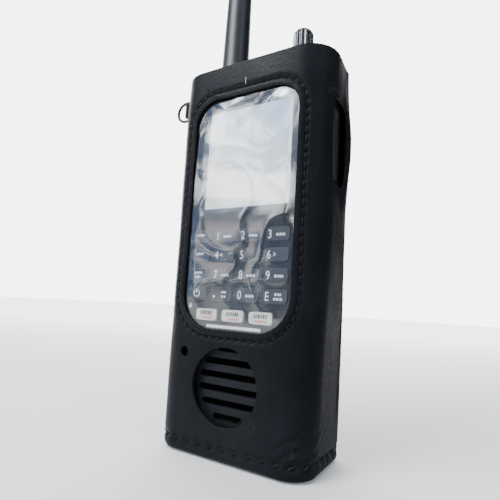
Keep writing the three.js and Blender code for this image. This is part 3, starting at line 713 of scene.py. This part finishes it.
def leatherRelief(p, face):
    # how far the leather stands out from the plain form at a point of the flat sheet
    wave = noise.noise(Vector((p.x * 26, p.y * 20, 3.1 * face))) * relief["wave"]
    ripple = noise.noise(Vector((p.x * 120, p.y * 90, 7.7 * face))) * relief["ripple"]
    height = wave + ripple
    foot = footTrees[face].find(p)[2]
    height -= relief["footDimple"] * bump(foot, reach["footDimple"])
    height -= relief["footGroove"] * bump(p.y - seams["footHeight"], reach["footGroove"])
    if face > 0:
        return height
    gap = windowDistance(p)
    height -= relief["groove"] * bump(gap - seams["windowOffset"], reach["groove"])
    height -= relief["dimple"] * bump(windowTree.find(p)[2], reach["dimple"])
    height += relief["lip"] * bump(gap - reach["lipAt"], reach["lip"])
    puff = noise.noise(Vector((p.x * 330, p.y * 330, 1.9))) * relief["puff"]
    height += puff * bump(gap - reach["puffAt"], reach["puff"])
    away = p - wrinkleMiddle
    crumple = math.sin(away.x * 900 - away.y * 1500 + 4 * noise.noise(p * 150))
    height += relief["wrinkle"] * crumple * bump(away.length, reach["wrinkle"])
    if p.x > 0:
        front = sideDistance(sideCutout["y"], p.y) - sideCutout["half"].x
        rear = front + 2 * sideCutout["half"].x
        along = bump(p.y - sideCutout["z"], reach["cutout"])
        height += relief["swell"] * along * bump(p.x - rear - reach["swellAt"], reach["swell"])
        height -= relief["sink"] * along * bump(p.x - front, reach["sink"])
    return height


def formLeather(bm, face):
    for vert in bm.verts:
        flat = vert.co.copy()
        point, out = wallPoint(flat.x, flat.y, face)
        vert.co = point + out * leatherRelief(flat, face) * min(flat.y / caseShape["footFade"], 1)
    if face > 0:
        bmesh.ops.reverse_faces(bm, faces=bm.faces)


def thicken(obj, thickness, edgeMaterial):
    modifier = obj.modifiers.new("thickness", "SOLIDIFY")
    modifier.thickness = thickness
    modifier.offset = -1
    modifier.use_even_offset = True
    modifier.material_offset = edgeMaterial
    modifier.material_offset_rim = edgeMaterial


def makeCase():
    cell = caseShape["cell"]
    for face, name, node in ((-1, "case_wrap_leather", "case_wrap"), (1, "case_back_leather", "case_back")):
        bm = flatSheet(2 * (sheetReach(face) - caseShape["seamGap"]), 0, caseShape["height"], cell)
        if face < 0:
            for distance in (windowDistance, speakerDistance, ventDistance, cutoutDistance):
                cutHole(bm, distance, cell)
        formLeather(bm, face)
        obj = finishPiece(bm, name, [blackLeather, rawLeather], "case", [node], 60)
        thicken(obj, caseShape["thickness"], 1)
        roundEdges(obj, caseShape["edgeRound"], 3, 55)


makeCase()
print("leather case formed")


# stitches

def addStitch(bm, place, along, out, length, width, lift):
    # one thread end to end: a bent grain that dips into the leather at both ends
    across = out.cross(along).normalized()
    made = bmesh.ops.create_icosphere(bm, subdivisions=1, radius=1)
    for vert in made["verts"]:
        t = vert.co.x
        low = lift - 0.9 * width * t * t
        sideways = across * (vert.co.y * width / 2)
        vert.co = place + along * (t * length / 2) + sideways + out * (vert.co.z * width / 2 + low)


def onWall(flat, way, face):
    # a place on the formed leather with the direction of a stitch there
    here, out = wallPoint(flat.x, flat.y, face)
    ahead, _ = wallPoint(flat.x + way.x * mm, flat.y + way.y * mm, face)
    height = leatherRelief(flat, face) * min(flat.y / caseShape["footFade"], 1)
    return here + out * height, (ahead - here).normalized(), out


# length, width and how far the middle stands over the leather
stitchShape = {
    "window": (2.8 * mm, 0.7 * mm, 0.42 * mm),
    "loose": (2.8 * mm, 0.45 * mm, 0.3 * mm),
    "foot": (3.8 * mm, 0.95 * mm, 0.55 * mm),
    "side": (2.6 * mm, 0.5 * mm, -0.08 * mm),
    "belt": (2.1 * mm, 0.6 * mm, 0.1 * mm),
}
# sewn over the row where the window's seam starts and ends
looseStitches = (((-18.6, 142.6), (-17.6, 140.4)), ((-17.4, 140.0), (-15.6, 138.6)))
# frayed ends of thread: start in millimetres on the sheet, lean, length
tuftRadii = (0.09 * mm, 0.05 * mm)
tuft = (((0.2, 140.2), -0.06, 2.8), ((0.3, 140.4), 0.04, 2.0), ((0.0, 140.0), 0.9, 0.9))


def makeTuft():
    bm = bmesh.new()
    for start, lean, length in tuft:
        place, up, out = onWall(Vector((*start, 0)) * mm, Vector((lean, 1, 0)).normalized(), -1)
        thick, thin = tuftRadii
        made = bmesh.ops.create_cone(bm, segments=6, radius1=thick, radius2=thin, depth=1, cap_ends=True)
        across = out.cross(up).normalized()
        for vert in made["verts"]:
            t = vert.co.z + 0.5
            rise = (0.3 + 0.5 * math.sin(t * math.pi)) * mm
            vert.co = place + across * vert.co.x + up * (t * length * mm) + out * (vert.co.y + rise)
    finishPiece(bm, "thread_tuft", [paleThread], "case")


def makeStitches():
    bm = bmesh.new()
    for flat, way in windowStitches:
        place, along, out = onWall(flat, way, -1)
        addStitch(bm, place, along, out, *stitchShape["window"])
    for start, end in looseStitches:
        flat = Vector((*start, 0)).lerp(Vector((*end, 0)), 0.5) * mm
        way = Vector((end[0] - start[0], end[1] - start[1], 0)).normalized()
        place, along, out = onWall(flat, way, -1)
        addStitch(bm, place, along, out, *stitchShape["loose"])
    finishPiece(bm, "window_stitches", [blackThread], "case")
    for face, name in ((-1, "foot_stitches_front"), (1, "foot_stitches_back")):
        bm = bmesh.new()
        for flat, way in footStitches(face):
            place, along, out = onWall(flat, way, face)
            addStitch(bm, place, along, out, *stitchShape["foot"])
        finishPiece(bm, name, [blackThread], "case")
    bm = bmesh.new()
    pitch = seams["sidePitch"]
    for side in (-1, 1):
        for k in range(int((caseShape["height"] - seams["sideEnds"]) / pitch)):
            flat = Vector((side * (sheetReach(1) - seams["sideIn"]), seams["sideStart"] + k * pitch, 0))
            place, along, out = onWall(flat, Vector((0, 1, 0)), 1)
            addStitch(bm, place, along, out, *stitchShape["side"])
    finishPiece(bm, "side_stitches", [blackThread], "case")


makeStitches()
makeTuft()
print("stitches sewn")


# belt loop

strap = {
    "low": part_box("belt_loop")[0].z,
    "high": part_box("belt_loop")[1].z,
    "width": 30 * mm,
    "foot": 10 * mm,
    "ramp": 14 * mm,
    "corner": 5 * mm,
    "thickness": 1.8 * mm,
    "crown": 0.35 * mm,
    "stitch": 2.6 * mm,
    "edge": 1.6 * mm,
    "cell": 1.0 * mm,
    "rowIn": 2.2 * mm,
    "rowEnd": 5 * mm,
    "crossIn": 2.4 * mm,
    "ahead": 0.5 * mm,
}


def strapPoint(x, z):
    near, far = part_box("belt_loop")[0].y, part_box("belt_loop")[1].y - strap["thickness"]
    end = min(z - strap["low"], strap["high"] - z)
    t = ease(end, strap["foot"], strap["foot"] + strap["ramp"])
    edge = bump(strap["width"] / 2 - abs(x), strap["edge"])
    return Vector((x, lerp(near, far, t) + strap["thickness"] - strap["crown"] * edge, z))


def makeStrap():
    bm = flatSheet(strap["width"], strap["low"], strap["high"], strap["cell"])
    for vert in bm.verts:
        end = min(vert.co.y - strap["low"], strap["high"] - vert.co.y, strap["corner"])
        shy = strap["corner"] - math.sqrt(max(strap["corner"] ** 2 - (strap["corner"] - end) ** 2, 0))
        vert.co = strapPoint(vert.co.x * (1 - 2 * shy / strap["width"]), vert.co.y)
    bmesh.ops.reverse_faces(bm, faces=bm.faces)
    finish = [blackLeather, rawLeather]
    obj = finishPiece(bm, "belt_loop_leather", finish, "case", ["belt_loop"], 60)
    thicken(obj, strap["thickness"], 1)
    roundEdges(obj, caseShape["edgeRound"], 3, 55)
    bm = bmesh.new()
    pitch = strap["stitch"]
    for side in (-1, 1):
        row = side * (strap["width"] / 2 - strap["rowIn"])
        for k in range(int((strap["high"] - strap["low"] - 2 * strap["rowEnd"]) / pitch)):
            z = strap["low"] + strap["rowEnd"] + (k + 0.5) * pitch
            here, ahead = strapPoint(row, z), strapPoint(row, z + strap["ahead"])
            along = (ahead - here).normalized()
            addStitch(bm, here, along, Vector((1, 0, 0)).cross(along) * -1, *stitchShape["belt"])
    for z in (strap["low"] + strap["crossIn"], strap["high"] - strap["crossIn"]):
        for k in range(-4, 5):
            here = strapPoint(k * pitch, z)
            addStitch(bm, here, Vector((1, 0, 0)), Vector((0, 1, 0)), *stitchShape["belt"])
    finishPiece(bm, "belt_loop_stitches", [blackThread], "case")


makeStrap()
print("belt loop made")


# clear film

film = {
    "inset": 1.2 * mm,
    "margin": 3.0 * mm,
    "cell": 0.7 * mm,
    "puff": 0.30 * mm,
    "billow": 0.70 * mm,
    "swirl": 0.68 * mm,
    "crease": 0.22 * mm,
    "free": 5 * mm,
    "drift": 14 * mm,
}


def filmRelief(p):
    # creases and soft billows, none at the held edge
    inside = -windowDistance(p)
    free = ease(inside, 0, film["free"])
    billow = noise.noise(Vector((p.x * 30, p.y * 24, 1.7))) * film["billow"]
    drift = Vector((noise.noise(p * 45), noise.noise(p * 45 + Vector((7, 3, 5))), 0)) * film["drift"]
    q = p + drift
    swirl = noise.noise(Vector((q.x * 62 + 3, q.y * 46, 4.2))) * film["swirl"]
    crease = 1 - abs(noise.noise(Vector((q.x * 60 + q.y * 34, q.y * 60 - q.x * 20, 9.3))))
    return free * (film["puff"] + billow + swirl + film["crease"] * crease**8)


def makeFilm():
    half = windowShape["half"] + Vector((film["margin"], film["margin"]))
    centre = windowShape["centre"]
    bm = flatSheet(2 * half.x, centre.y - half.y, centre.y + half.y, film["cell"])
    for vert in bm.verts:
        flat = vert.co + Vector((centre.x, 0, 0))
        point, out = wallPoint(flat.x, flat.y, -1, film["inset"])
        vert.co = point + out * filmRelief(flat)
    obj = finishPiece(bm, "window_film_sheet", [clearFilm], "case", ["window_film"], 80)
    modifier = obj.modifiers.new("smooth", "SUBSURF")
    modifier.levels = modifier.render_levels = 1
    obj.visible_shadow = False


makeFilm()
print("film fitted")


# scanner and small parts

roundings = {
    "front_housing": (housingPlastic, "scanner", "housing_plastic", 0.22),
    "rear_housing": (housingPlastic, "scanner", "housing_plastic", 0.25),
    "battery_door": (housingPlastic, "scanner", "housing_plastic", 0.2),
    "jack_panel": (housingPlastic, "scanner", "housing_plastic", 0.15),
    "port_cover": (coverRubber, "cover", "black_rubber", 0.3),
    "main_board": (boardGreen, "scanner", "circuit_board", 0.15),
    "keypad_mat": (blackRubber, "scanner", "black_rubber", 0.15),
    # the display panel carries the painted glow and painted reflection
    "display_panel": (screenPaintedReflection, "scanner", "screen", 0.2),
    "display_lens": (clearLens, "scanner", "lens", 0.2),
    "speaker": (speakerBlack, "scanner", "dark_steel", 0.3),
    "battery_cell_1": (cellSleeve, "scanner", "cell", 0.5),
    "battery_cell_2": (cellSleeve, "scanner", "cell", 0.5),
    "usb_jack": (brightSteel, "scanner", "bright_steel", 0.08),
    "phone_jack": (brightSteel, "scanner", "bright_steel", 0.1),
    "screw_1": (darkSteel, "scanner", "dark_steel", 0.12),
    "screw_2": (darkSteel, "scanner", "dark_steel", 0.12),
    "screw_3": (darkSteel, "scanner", "dark_steel", 0.12),
    "screw_4": (darkSteel, "scanner", "dark_steel", 0.12),
    "encoder_bushing": (brightSteel, "scanner", "bright_steel", 0.2),
    "encoder_shaft": (brightSteel, "encoder", "bright_steel", 0.2),
    "antenna_socket": (brightSteel, "scanner", "bright_steel", 0.25),
    "antenna_collar": (darkSteel, "collar", "dark_steel", 0.15),
    "strap_ring": (darkSteel, "ring", "dark_steel", 0.0),
    "ring_tab": (blackLeather, "case", "leather", 0.3),
    "case_floor": (blackLeather, "case", "leather", 0.4),
    "rivet_lower": (darkSteel, "case", "dark_steel", 0.1),
    "rivet_upper": (darkSteel, "case", "dark_steel", 0.1),
    "rivet_tab": (darkSteel, "case", "dark_steel", 0.1),
}


def makeRefined():
    for node, (material, body, slot, width) in roundings.items():
        refine(node, [material], body, width * mm)
    for node in nodes:
        if node.startswith("key_"):
            low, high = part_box(node)
            pale = node in ("key_scan", "key_hold", "key_lockout")
            material = paleRubber if pale else keyPlastic
            refine(node, [material], node, 0.35 * mm, 3)


makeRefined()
print("scanner pieces finished")

# antenna and knob

whip = {
    "steps": 40,
    "pin": 1.6 * mm,
    "neck": 3.3 * mm,
    "neckHeight": 3.7 * mm,
    "foot": 6.4 * mm,
    # radius and height above the foot
    "taper": (
        (5.9, 0), (6.3, 0.4), (6.3, 1.7), (6.1, 2.6), (5.95, 4), (5.75, 17), (5.4, 38), (4.9, 74), (4.4, 114),
    ),
    "tip": 3.9 * mm,
}
dial = {
    "steps": 144,
    "flutes": 12,
    "depth": 0.5 * mm,
    "foot": 1.2 * mm,
    "dome": 2.8 * mm,
    "bore": 2.2 * mm,
    "chamfer": 0.25 * mm,
    "shaftGap": 0.3 * mm,
    "neckIn": 0.1 * mm,
    "topFade": 0.9 * mm,
}


def turned(bm, profile, centre, steps):
    # spins a profile of radius and height round an upright axis
    verts = [bm.verts.new((centre.x + radius, centre.y, z)) for radius, z in profile]
    edges = [bm.edges.new(pair) for pair in zip(verts, verts[1:])]
    bmesh.ops.spin(
        bm, geom=verts + edges, cent=centre, axis=(0, 0, 1), angle=2 * math.pi, steps=steps, use_merge=True,
    )
    bmesh.ops.remove_doubles(bm, verts=bm.verts, dist=merge["turned"])
    bmesh.ops.recalc_face_normals(bm, faces=bm.faces)


def axisOf(node):
    low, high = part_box(node)
    return Vector(((low.x + high.x) / 2, (low.y + high.y) / 2, 0)), low.z, high.z


def makeWhip():
    centre, low, high = axisOf("antenna_whip")
    foot = low + whip["foot"]
    profile = [(0, low), (whip["pin"], low), (whip["pin"], low + whip["neckHeight"])]
    profile += [(whip["neck"], low + whip["neckHeight"]), (whip["neck"], foot)]
    profile += [(radius * mm, foot + height * mm) for radius, height in whip["taper"]]
    for i in range(10):
        angle = i / 10 * math.pi / 2
        profile.append((whip["tip"] * math.cos(angle), high - whip["tip"] * (1 - math.sin(angle))))
    profile.append((0, high))
    bm = bmesh.new()
    turned(bm, profile, centre, whip["steps"])
    finishPiece(bm, "antenna_whip_rubber", [blackRubber], "antenna", ["antenna_whip"], 50)


def makeKnob():
    centre, low, high = axisOf("tuning_knob")
    radius = (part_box("tuning_knob")[1].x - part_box("tuning_knob")[0].x) / 2
    shoulder = high - dial["dome"]
    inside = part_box("encoder_shaft")[1].z + dial["shaftGap"]
    neck, step = radius - dial["neckIn"], low + 1.3 * dial["foot"]
    profile = [(0, inside), (dial["bore"], inside), (dial["bore"], low), (radius - dial["chamfer"], low)]
    profile += [(radius, low + dial["chamfer"]), (radius, low + dial["foot"]), (neck, step)]
    profile += [(neck, lerp(step, shoulder, k / 8)) for k in range(1, 9)]
    for i in range(1, 10):
        angle = i / 10 * math.pi / 2
        profile.append((neck * math.cos(angle) ** 0.8, shoulder + dial["dome"] * math.sin(angle)))
    profile.append((0, high))
    bm = bmesh.new()
    turned(bm, profile, centre, dial["steps"])
    for vert in bm.verts:
        away = Vector((vert.co.x - centre.x, vert.co.y - centre.y))
        if away.length < dial["bore"] * 1.02 or vert.co.z < low + 1.2 * dial["foot"]:
            continue
        flute = abs(math.cos(math.atan2(away.y, away.x) * dial["flutes"] / 2)) ** 3
        rise = min((vert.co.z - low - dial["foot"]) / mm, 1)
        fade = 1 - bump(vert.co.z - high, dial["topFade"])
        shorter = away.normalized() * dial["depth"] * flute * rise * fade
        vert.co.x -= shorter.x
        vert.co.y -= shorter.y
    finishPiece(bm, "tuning_knob_cap", [knobPlastic], "knob", ["tuning_knob"], 50)


makeWhip()
makeKnob()
print("antenna and knob made")


# printed marks

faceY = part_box("front_housing")[0].y
marks = {
    "height": 0.03 * mm,
    "digit": 4.5 * mm,
    "digitNarrow": 0.78,
    "digitShift": -3.1 * mm,
    "bar": 0.28 * mm,
    "smallBar": 0.95 * mm,
    "arcSteps": 24,
    "legendShift": 1.2 * mm,
    "lineUp": 0.7 * mm,
    "lineDown": -0.9 * mm,
    "tallBar": 1.5 * mm,
}
digitKeys = {"key_%d" % n: str(n) for n in range(10)}
besideDigit = {
    "key_1": "bars", "key_2": "bars", "key_3": "bars", "key_4": "<", "key_6": ">", "key_7": "bars",
    "key_8": "bars", "key_9": "bars", "key_0": "bars", "key_5": "",
}


def addText(bm, text, size, x, z, y, narrow=1.0, lean=0.0):
    curve = bpy.data.curves.new("mark", "FONT")
    curve.body = text
    curve.size = size
    curve.extrude = marks["height"] / 2
    curve.resolution_u = 4
    curve.align_x = "CENTER"
    curve.shear = lean
    holder = bpy.data.objects.new("mark", curve)
    mesh = bpy.data.meshes.new_from_object(holder)
    place = Matrix.Translation((x, y, z - size * 0.35)) @ Matrix.Rotation(math.pi / 2, 4, "X")
    mesh.transform(place @ Matrix.Diagonal((narrow, 1, 1, 1)))
    bm.from_mesh(mesh)
    bpy.data.meshes.remove(mesh)
    bpy.data.objects.remove(holder)
    bpy.data.curves.remove(curve)


def addBars(bm, x, z, y, widths, height, lean=0.0):
    # a short row of upright bars that stands for a small legend
    step = marks["bar"]
    at = x - sum(widths) * step / 2
    for i, width in enumerate(widths):
        if i % 2 == 0:
            made = bmesh.ops.create_cube(bm, size=1)["verts"]
            for vert in made:
                up = vert.co.z * height
                across = at + (vert.co.x + 0.5) * width * step + lean * up
                vert.co = Vector((across, y + vert.co.y * marks["height"], z + up))
        at += width * step


def addRing(bm, x, z, y, radius, width, start, end):
    # an arc of flat ink, its angles in turns from the top
    way = Vector((math.sin(2 * math.pi * start), 0, math.cos(2 * math.pi * start)))
    middle = Vector((x, y, z))
    verts = [bm.verts.new(middle + way * r) for r in (radius - width / 2, radius + width / 2)]
    edge = bm.edges.new(verts)
    angle = 2 * math.pi * (end - start)
    whole = end - start == 1
    kept = set(bm.faces)
    bmesh.ops.spin(
        bm, geom=verts + [edge], cent=middle, axis=(0, 1, 0), angle=angle,
        steps=marks["arcSteps"], use_merge=whole,
    )
    band = [face for face in bm.faces if face not in kept]
    made = bmesh.ops.extrude_face_region(bm, geom=band)["geom"]
    top = [g for g in made if isinstance(g, bmesh.types.BMVert)]
    bmesh.ops.translate(bm, verts=top, vec=(0, -marks["height"], 0))


def inkPiece(bm, name, material, body):
    bmesh.ops.recalc_face_normals(bm, faces=bm.faces)
    finishPiece(bm, name, [material], body)


def keyMiddle(node):
    low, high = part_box(node)
    return (low.x + high.x) / 2, (low.z + high.z) / 2, low.y - marks["height"] / 2


def printKeys():
    word = (2, 1, 1, 1, 2, 1, 1, 1, 2)
    for node, digit in digitKeys.items():
        x, z, y = keyMiddle(node)
        bm = bmesh.new()
        addText(bm, digit, marks["digit"], x + marks["digitShift"], z, y, marks["digitNarrow"])
        extra = besideDigit[node]
        if extra in ("<", ">"):
            addText(bm, extra, 3.2 * mm, x - 0.9 * mm, z, y, 0.7)
        elif extra:
            addBars(bm, x + marks["legendShift"], z - 0.3 * mm, y, word, marks["smallBar"])
        inkPiece(bm, node + "_mark", whiteInkPaintedGlow, node)
    for node in ("key_search", "key_priority", "key_function"):
        x, z, y = keyMiddle(node)
        bm = bmesh.new()
        addBars(bm, x, z + 0.5 * mm, y, word, marks["smallBar"])
        if node == "key_function":
            addBars(bm, x, z - 1.1 * mm, y, word[:7], marks["smallBar"])
        inkPiece(bm, node + "_mark", whiteInkPaintedGlow, node)
    x, z, y = keyMiddle("key_power")
    bm = bmesh.new()
    addRing(bm, x, z, y, 1.3 * mm, 0.35 * mm, 0.1, 0.9)
    addBars(bm, x, z + 0.9 * mm, y, (1.2,), marks["tallBar"])
    inkPiece(bm, "key_power_mark", whiteInkPaintedGlow, "key_power")
    x, z, y = keyMiddle("key_point")
    bm = bmesh.new()
    addRing(bm, x + marks["digitShift"], z - 1.0 * mm, y, 0.25 * mm, 0.48 * mm, 0, 1)
    addBars(bm, x + marks["legendShift"], z + marks["lineUp"], y, word[:5], marks["smallBar"])
    addBars(bm, x + marks["legendShift"], z + marks["lineDown"], y, word[:5], marks["smallBar"])
    inkPiece(bm, "key_point_mark", whiteInkPaintedGlow, "key_point")
    x, z, y = keyMiddle("key_enter")
    bm = bmesh.new()
    addText(bm, "E", marks["digit"], x + marks["digitShift"], z, y, marks["digitNarrow"])
    addBars(bm, x + marks["legendShift"], z + marks["lineUp"], y, word[:7], marks["smallBar"])
    addBars(bm, x + marks["legendShift"], z + marks["lineDown"], y, word, marks["smallBar"])
    inkPiece(bm, "key_enter_mark", whiteInkPaintedGlow, "key_enter")
    label = (2, 1, 2, 1, 3, 1, 2, 1, 3, 1, 2)
    for node in ("key_scan", "key_hold", "key_lockout"):
        x, z, y = keyMiddle(node)
        bm = bmesh.new()
        addBars(bm, x, z + marks["lineUp"], y, label, marks["tallBar"], 0.2)
        inkPiece(bm, node + "_mark", darkInk, node)
        bm = bmesh.new()
        addBars(bm, x + 0.4 * mm, z - 1.1 * mm, y, label[:9], 0.8 * mm)
        inkPiece(bm, node + "_red_mark", redInk, node)


def printFace():
    y = faceY - marks["height"] / 2
    bm = bmesh.new()
    # padlock
    x, z = -21.2 * mm, 53.3 * mm
    addBars(bm, x, z, y, (5,), 1.2 * mm)
    addRing(bm, x, z + 0.6 * mm, y, 0.5 * mm, 0.22 * mm, -0.25, 0.25)
    # plain strip below the pale keys
    addBars(bm, -1 * mm, 46.3 * mm, y, (84,), 1.1 * mm)
    inkPiece(bm, "face_marks", whiteInkPaintedGlow, "scanner")


printKeys()
printFace()
print("marks printed")

# studio floor


def floorFinish():
    # white paper that brightens away from the object, up to the backdrop
    material, shader = newMaterial("studio_floor", studio["floorColour"], 0.75, Emission_Color=(1, 1, 1, 1))
    away = addNode(material, "VectorMath", operation="DOT_PRODUCT")
    away.inputs[1].default_value = studio["glowWay"]
    link(material, objectPoint(material), away.inputs[0])
    glow = addNode(material, "MapRange", interpolation_type="SMOOTHSTEP")
    glow.inputs["From Min"].default_value, glow.inputs["From Max"].default_value = studio["glowReach"]
    glow.inputs["To Min"].default_value, glow.inputs["To Max"].default_value = studio["floorGlow"]
    link(material, away.outputs["Value"], glow.inputs["Value"])
    link(material, glow.outputs["Result"], shader.inputs["Emission Strength"])
    return material


def makeFloor():
    bm = bmesh.new()
    bmesh.ops.create_grid(bm, x_segments=1, y_segments=1, size=studio["floor"])
    mesh = bpy.data.meshes.new("studio_floor")
    bm.to_mesh(mesh)
    bm.free()
    mesh.materials.append(floorFinish())
    obj = bpy.data.objects.new("studio_floor", mesh)
    bpy.context.scene.collection.objects.link(obj)


makeFloor()
